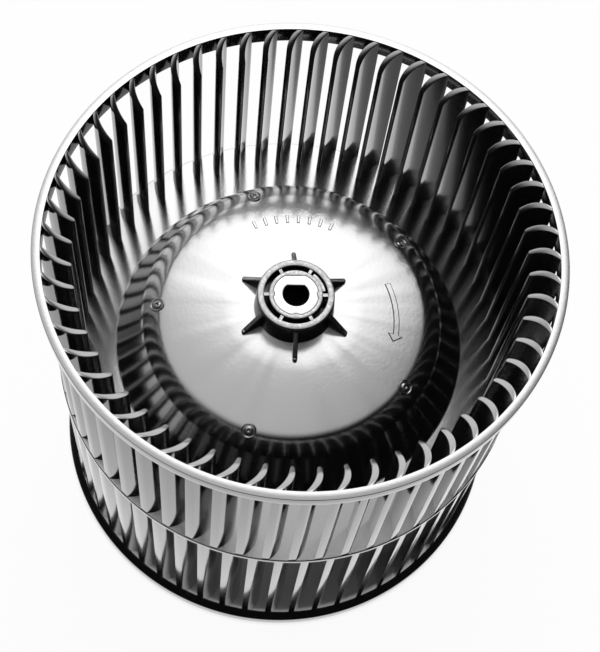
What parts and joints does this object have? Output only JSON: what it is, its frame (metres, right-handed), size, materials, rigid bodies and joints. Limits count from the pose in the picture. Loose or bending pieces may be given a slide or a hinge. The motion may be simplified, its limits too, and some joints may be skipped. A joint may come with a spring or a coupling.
{
  "type": "fan impeller",
  "caption": "Black double-inlet blower wheel: two cages of forward-curved blades either side of a domed web, with end rings and a metal D-bore hub insert.",
  "frame": {"origin": "on the shaft axis, in the plane of the lower end ring's outer face", "axes": "+Z along the shaft axis towards the crown of the web and the upper inlet; +Y points the way the flat of the bore faces"},
  "size_m": [0.152, 0.152, 0.138],
  "materials": {
    "black_plastic": "injection-moulded black plastic with a soft gloss",
    "insert_metal": "bright turned and fluted metal"
  },
  "bodies": {
    "root": {"impeller_moulding": "black_plastic", "hub_insert": "insert_metal"}
  },
  "joints": []
}
